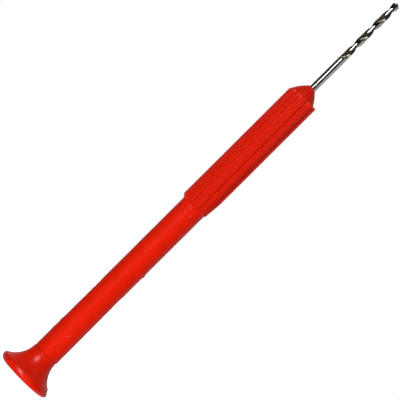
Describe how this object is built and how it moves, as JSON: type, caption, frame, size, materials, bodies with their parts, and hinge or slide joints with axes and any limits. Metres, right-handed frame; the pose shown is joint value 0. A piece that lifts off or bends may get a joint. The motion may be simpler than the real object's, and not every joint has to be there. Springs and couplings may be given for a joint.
{
  "type": "pin vise drill",
  "caption": "Slim hand drill with a fixed twist drill, a ribbed moulded grip and a flared palm cap that swivels freely on the rear of the handle.",
  "frame": {"origin": "centre of the palm cap's flat end face, on which the tool stands", "axes": "+Z along the tool's axis, from the palm cap towards the drill's point; the ejector marks on the tube face -Y"},
  "size_m": [0.0178, 0.0178, 0.1515],
  "materials": {
    "red_plastic": "moulded, semi-gloss with faint flow marks",
    "drill_steel": "ground and polished high-speed steel",
    "sleeve_brass": "turned and knurled brass",
    "plated_steel": "zinc-plated steel",
    "washer_plastic": "dark low-friction plastic"
  },
  "bodies": {
    "handle": {"handle": "red_plastic", "twist_drill": "drill_steel", "drill_sleeve": "sleeve_brass", "pivot_pin": "plated_steel", "head_washer": "plated_steel", "thrust_washer": "washer_plastic"},
    "cap": {"swivel_cap": "red_plastic", "end_cover": "red_plastic"}
  },
  "joints": [
    {"name": "cap_swivel", "type": "hinge", "parent": "handle", "child": "cap", "pos_m": [0, 0, 0.0075], "axis": [0, 0, 1], "continuous": true}
  ]
}
